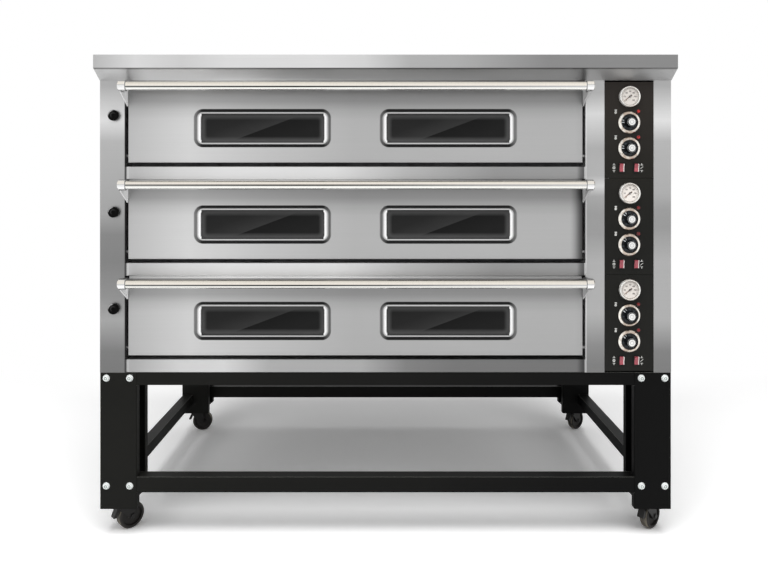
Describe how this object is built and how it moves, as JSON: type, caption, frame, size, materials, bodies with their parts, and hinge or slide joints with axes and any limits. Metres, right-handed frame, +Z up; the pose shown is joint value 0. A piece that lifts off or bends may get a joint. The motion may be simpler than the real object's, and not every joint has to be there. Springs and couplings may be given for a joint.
{
  "type": "deck oven",
  "caption": "Electric bakery deck oven with drop-down windowed doors, tube handles, a side control panel and an open stand on swivel casters.",
  "frame": {"origin": "on the floor under the middle of the whole oven's box, handles and flue spigots included", "axes": "+X to the right seen from the front, +Y from the front to the back, +Z up; the doors face -Y"},
  "size_m": [1.66, 0.9984, 1.3935],
  "materials": {
    "stainless_body": "brushed stainless sheet",
    "stainless_frame": "brushed stainless sheet",
    "stainless_canopy": "brushed stainless sheet",
    "stainless_door": "fine brushed stainless sheet",
    "galvanised_back": "galvanised sheet",
    "rock_wool": "matte fibre",
    "hearth_steel": "dark blued steel",
    "element_steel": "oxidised tube",
    "chamber_enamel": "dark vitreous enamel",
    "black_panel": "satin black",
    "gauge_chrome": "polished",
    "ring_chrome": "polished",
    "lamp_red": "clear red lens",
    "switch_black": "moulded black",
    "rocker_red": "moulded red",
    "knob_black": "moulded black",
    "needle_black": "matt black",
    "damper_black": "moulded black",
    "flue_steel": "plain steel tube",
    "gland_black": "moulded black",
    "stand_black": "satin powder coat",
    "bolt_zinc": "bright zinc plate",
    "caster_steel": "black plated steel",
    "wheel_rubber": "moulded rubber",
    "dark_glass": "tinted heat-proof glass",
    "handle_chrome": "polished tube"
  },
  "bodies": {
    "root": {"body_panels": "stainless_body", "rear_panel": "galvanised_back", "face_frame": "stainless_frame", "canopy": "stainless_canopy", "insulation": "rock_wool", "hearth_plates": "hearth_steel", "heating_elements": "element_steel", "control_panels": "black_panel", "thermometers": "gauge_chrome", "thermostats": "ring_chrome", "indicator_lamps": "lamp_red", "switch_housings": "switch_black", "flue_outlets": "flue_steel", "cable_gland": "gland_black", "stand_legs": "stand_black", "stand_rails": "stand_black", "stand_bolts": "bolt_zinc", "caster_plates": "caster_steel", "lower_chamber": "chamber_enamel", "middle_chamber": "chamber_enamel", "upper_chamber": "chamber_enamel"},
    "lower_door": {"lower_door_shell": "stainless_door", "lower_door_glass": "dark_glass", "lower_door_handle": "handle_chrome"},
    "lower_damper": {"lower_damper_pull": "damper_black"},
    "lower_needle": {"lower_thermometer_needle": "needle_black"},
    "lower_bottom_heat_dial": {"lower_bottom_heat_knob": "knob_black"},
    "lower_top_heat_dial": {"lower_top_heat_knob": "knob_black"},
    "lower_power_rocker": {"lower_power_switch": "rocker_red"},
    "lower_light_rocker": {"lower_light_switch": "rocker_red"},
    "middle_door": {"middle_door_shell": "stainless_door", "middle_door_glass": "dark_glass", "middle_door_handle": "handle_chrome"},
    "middle_damper": {"middle_damper_pull": "damper_black"},
    "middle_needle": {"middle_thermometer_needle": "needle_black"},
    "middle_bottom_heat_dial": {"middle_bottom_heat_knob": "knob_black"},
    "middle_top_heat_dial": {"middle_top_heat_knob": "knob_black"},
    "middle_power_rocker": {"middle_power_switch": "rocker_red"},
    "middle_light_rocker": {"middle_light_switch": "rocker_red"},
    "upper_door": {"upper_door_shell": "stainless_door", "upper_door_glass": "dark_glass", "upper_door_handle": "handle_chrome"},
    "upper_damper": {"upper_damper_pull": "damper_black"},
    "upper_needle": {"upper_thermometer_needle": "needle_black"},
    "upper_bottom_heat_dial": {"upper_bottom_heat_knob": "knob_black"},
    "upper_top_heat_dial": {"upper_top_heat_knob": "knob_black"},
    "upper_power_rocker": {"upper_power_switch": "rocker_red"},
    "upper_light_rocker": {"upper_light_switch": "rocker_red"},
    "front_left_swivel": {"front_left_caster_fork": "caster_steel"},
    "front_left_wheel": {"front_left_caster_wheel": "wheel_rubber"},
    "front_left_brake": {"front_left_caster_brake": "caster_steel"},
    "front_right_swivel": {"front_right_caster_fork": "caster_steel"},
    "front_right_wheel": {"front_right_caster_wheel": "wheel_rubber"},
    "front_right_brake": {"front_right_caster_brake": "caster_steel"},
    "rear_left_swivel": {"rear_left_caster_fork": "caster_steel"},
    "rear_left_wheel": {"rear_left_caster_wheel": "wheel_rubber"},
    "rear_left_brake": {"rear_left_caster_brake": "caster_steel"},
    "rear_right_swivel": {"rear_right_caster_fork": "caster_steel"},
    "rear_right_wheel": {"rear_right_caster_wheel": "wheel_rubber"},
    "rear_right_brake": {"rear_right_caster_brake": "caster_steel"}
  },
  "joints": [
    {"name": "lower_door_hinge", "type": "hinge", "parent": "root", "child": "lower_door", "pos_m": [-0.0875, -0.41075, 0.5475], "axis": [1, 0, 0], "range_deg": [0, 90]},
    {"name": "lower_damper_slide", "type": "slide", "parent": "root", "child": "lower_damper", "axis": [0, -1, 0], "range_m": [0, 0.04]},
    {"name": "lower_needle_turn", "type": "hinge", "parent": "root", "child": "lower_needle", "pos_m": [0.7075, -0.43675, 0.719], "axis": [0, 1, 0], "range_deg": [0, 260], "stiffness_Nm_per_rad": 0.001},
    {"name": "lower_bottom_heat_turn", "type": "hinge", "parent": "root", "child": "lower_bottom_heat_dial", "pos_m": [0.7075, -0.42975, 0.5695], "axis": [0, 1, 0], "range_deg": [0, 300]},
    {"name": "lower_top_heat_turn", "type": "hinge", "parent": "root", "child": "lower_top_heat_dial", "pos_m": [0.7075, -0.42975, 0.6445], "axis": [0, 1, 0], "range_deg": [0, 300]},
    {"name": "lower_power_rock", "type": "hinge", "parent": "root", "child": "lower_power_rocker", "pos_m": [0.686, -0.42775, 0.513], "axis": [-1, 0, 0], "range_deg": [0, 16]},
    {"name": "lower_light_rock", "type": "hinge", "parent": "root", "child": "lower_light_rocker", "pos_m": [0.729, -0.42775, 0.513], "axis": [-1, 0, 0], "range_deg": [0, 16]},
    {"name": "middle_door_hinge", "type": "hinge", "parent": "root", "child": "middle_door", "pos_m": [-0.0875, -0.41075, 0.8275], "axis": [1, 0, 0], "range_deg": [0, 90]},
    {"name": "middle_damper_slide", "type": "slide", "parent": "root", "child": "middle_damper", "axis": [0, -1, 0], "range_m": [0, 0.04]},
    {"name": "middle_needle_turn", "type": "hinge", "parent": "root", "child": "middle_needle", "pos_m": [0.7075, -0.43675, 0.999], "axis": [0, 1, 0], "range_deg": [0, 260], "stiffness_Nm_per_rad": 0.001},
    {"name": "middle_bottom_heat_turn", "type": "hinge", "parent": "root", "child": "middle_bottom_heat_dial", "pos_m": [0.7075, -0.42975, 0.8495], "axis": [0, 1, 0], "range_deg": [0, 300]},
    {"name": "middle_top_heat_turn", "type": "hinge", "parent": "root", "child": "middle_top_heat_dial", "pos_m": [0.7075, -0.42975, 0.9245], "axis": [0, 1, 0], "range_deg": [0, 300]},
    {"name": "middle_power_rock", "type": "hinge", "parent": "root", "child": "middle_power_rocker", "pos_m": [0.686, -0.42775, 0.793], "axis": [-1, 0, 0], "range_deg": [0, 16]},
    {"name": "middle_light_rock", "type": "hinge", "parent": "root", "child": "middle_light_rocker", "pos_m": [0.729, -0.42775, 0.793], "axis": [-1, 0, 0], "range_deg": [0, 16]},
    {"name": "upper_door_hinge", "type": "hinge", "parent": "root", "child": "upper_door", "pos_m": [-0.0875, -0.41075, 1.1075], "axis": [1, 0, 0], "range_deg": [0, 90]},
    {"name": "upper_damper_slide", "type": "slide", "parent": "root", "child": "upper_damper", "axis": [0, -1, 0], "range_m": [0, 0.04]},
    {"name": "upper_needle_turn", "type": "hinge", "parent": "root", "child": "upper_needle", "pos_m": [0.7075, -0.43675, 1.279], "axis": [0, 1, 0], "range_deg": [0, 260], "stiffness_Nm_per_rad": 0.001},
    {"name": "upper_bottom_heat_turn", "type": "hinge", "parent": "root", "child": "upper_bottom_heat_dial", "pos_m": [0.7075, -0.42975, 1.1295], "axis": [0, 1, 0], "range_deg": [0, 300]},
    {"name": "upper_top_heat_turn", "type": "hinge", "parent": "root", "child": "upper_top_heat_dial", "pos_m": [0.7075, -0.42975, 1.2045], "axis": [0, 1, 0], "range_deg": [0, 300]},
    {"name": "upper_power_rock", "type": "hinge", "parent": "root", "child": "upper_power_rocker", "pos_m": [0.686, -0.42775, 1.073], "axis": [-1, 0, 0], "range_deg": [0, 16]},
    {"name": "upper_light_rock", "type": "hinge", "parent": "root", "child": "upper_light_rocker", "pos_m": [0.729, -0.42775, 1.073], "axis": [-1, 0, 0], "range_deg": [0, 16]},
    {"name": "front_left_swivel_turn", "type": "hinge", "parent": "root", "child": "front_left_swivel", "pos_m": [-0.7765, -0.38175, 0.085], "axis": [0, 0, 1], "continuous": true},
    {"name": "front_left_wheel_roll", "type": "hinge", "parent": "front_left_swivel", "child": "front_left_wheel", "pos_m": [-0.76377, -0.36902, 0.0385], "axis": [0.7071, -0.7071, 0], "continuous": true},
    {"name": "front_left_brake_press", "type": "hinge", "parent": "front_left_swivel", "child": "front_left_brake", "pos_m": [-0.78994, -0.39519, 0.0717], "axis": [0.7071, -0.7071, 0], "range_deg": [0, 10]},
    {"name": "front_right_swivel_turn", "type": "hinge", "parent": "root", "child": "front_right_swivel", "pos_m": [0.7765, -0.38175, 0.085], "axis": [0, 0, 1], "continuous": true},
    {"name": "front_right_wheel_roll", "type": "hinge", "parent": "front_right_swivel", "child": "front_right_wheel", "pos_m": [0.79029, -0.37018, 0.0385], "axis": [0.6428, -0.766, 0], "continuous": true},
    {"name": "front_right_brake_press", "type": "hinge", "parent": "front_right_swivel", "child": "front_right_brake", "pos_m": [0.76194, -0.39396, 0.0717], "axis": [0.6428, -0.766, 0], "range_deg": [0, 10]},
    {"name": "rear_left_swivel_turn", "type": "hinge", "parent": "root", "child": "rear_left_swivel", "pos_m": [-0.7765, 0.42025, 0.085], "axis": [0, 0, 1], "continuous": true},
    {"name": "rear_left_wheel_roll", "type": "hinge", "parent": "rear_left_swivel", "child": "rear_left_wheel", "pos_m": [-0.75857, 0.42182, 0.0385], "axis": [0.0872, -0.9962, 0], "continuous": true},
    {"name": "rear_left_brake_press", "type": "hinge", "parent": "rear_left_swivel", "child": "rear_left_brake", "pos_m": [-0.79543, 0.41859, 0.0717], "axis": [0.0872, -0.9962, 0], "range_deg": [0, 10]},
    {"name": "rear_right_swivel_turn", "type": "hinge", "parent": "root", "child": "rear_right_swivel", "pos_m": [0.7765, 0.42025, 0.085], "axis": [0, 0, 1], "continuous": true},
    {"name": "rear_right_wheel_roll", "type": "hinge", "parent": "rear_right_swivel", "child": "rear_right_wheel", "pos_m": [0.79068, 0.43133, 0.0385], "axis": [0.6157, -0.788, 0], "continuous": true},
    {"name": "rear_right_brake_press", "type": "hinge", "parent": "rear_right_swivel", "child": "rear_right_brake", "pos_m": [0.76153, 0.40855, 0.0717], "axis": [0.6157, -0.788, 0], "range_deg": [0, 10]}
  ]
}
